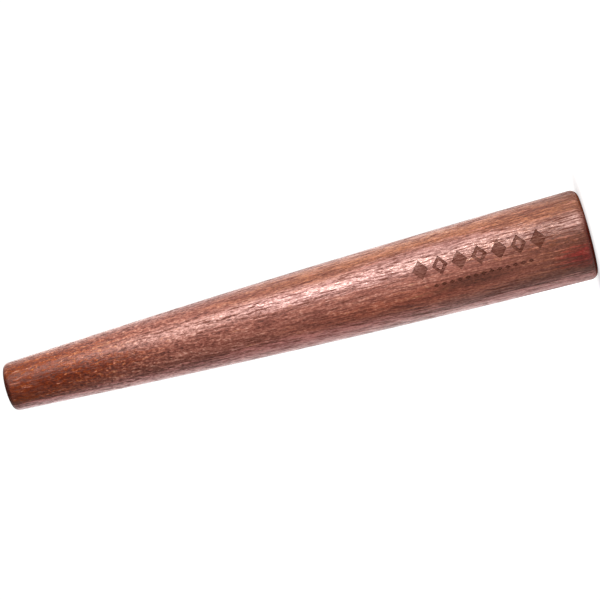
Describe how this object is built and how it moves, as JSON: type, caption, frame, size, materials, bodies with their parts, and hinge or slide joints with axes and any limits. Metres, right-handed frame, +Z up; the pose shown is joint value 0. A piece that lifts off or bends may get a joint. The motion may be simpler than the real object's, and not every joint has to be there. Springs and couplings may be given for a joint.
{
  "type": "bar muddler",
  "caption": "Turned wooden bar muddler: a slim tapered club with a broad flat striking end, a slim rounded grip end and a small burnt lozenge ornament on its side.",
  "frame": {"origin": "middle of the flat striking face that the club stands on", "axes": "+Z up the club's axis, from the striking face to the grip end; -Y towards the side that carries the burnt ornament; +X completes a right-handed frame"},
  "size_m": [0.0379, 0.0378, 0.25],
  "materials": {
    "walnut": "oiled satin"
  },
  "bodies": {
    "root": {"muddler": "walnut"}
  },
  "joints": []
}
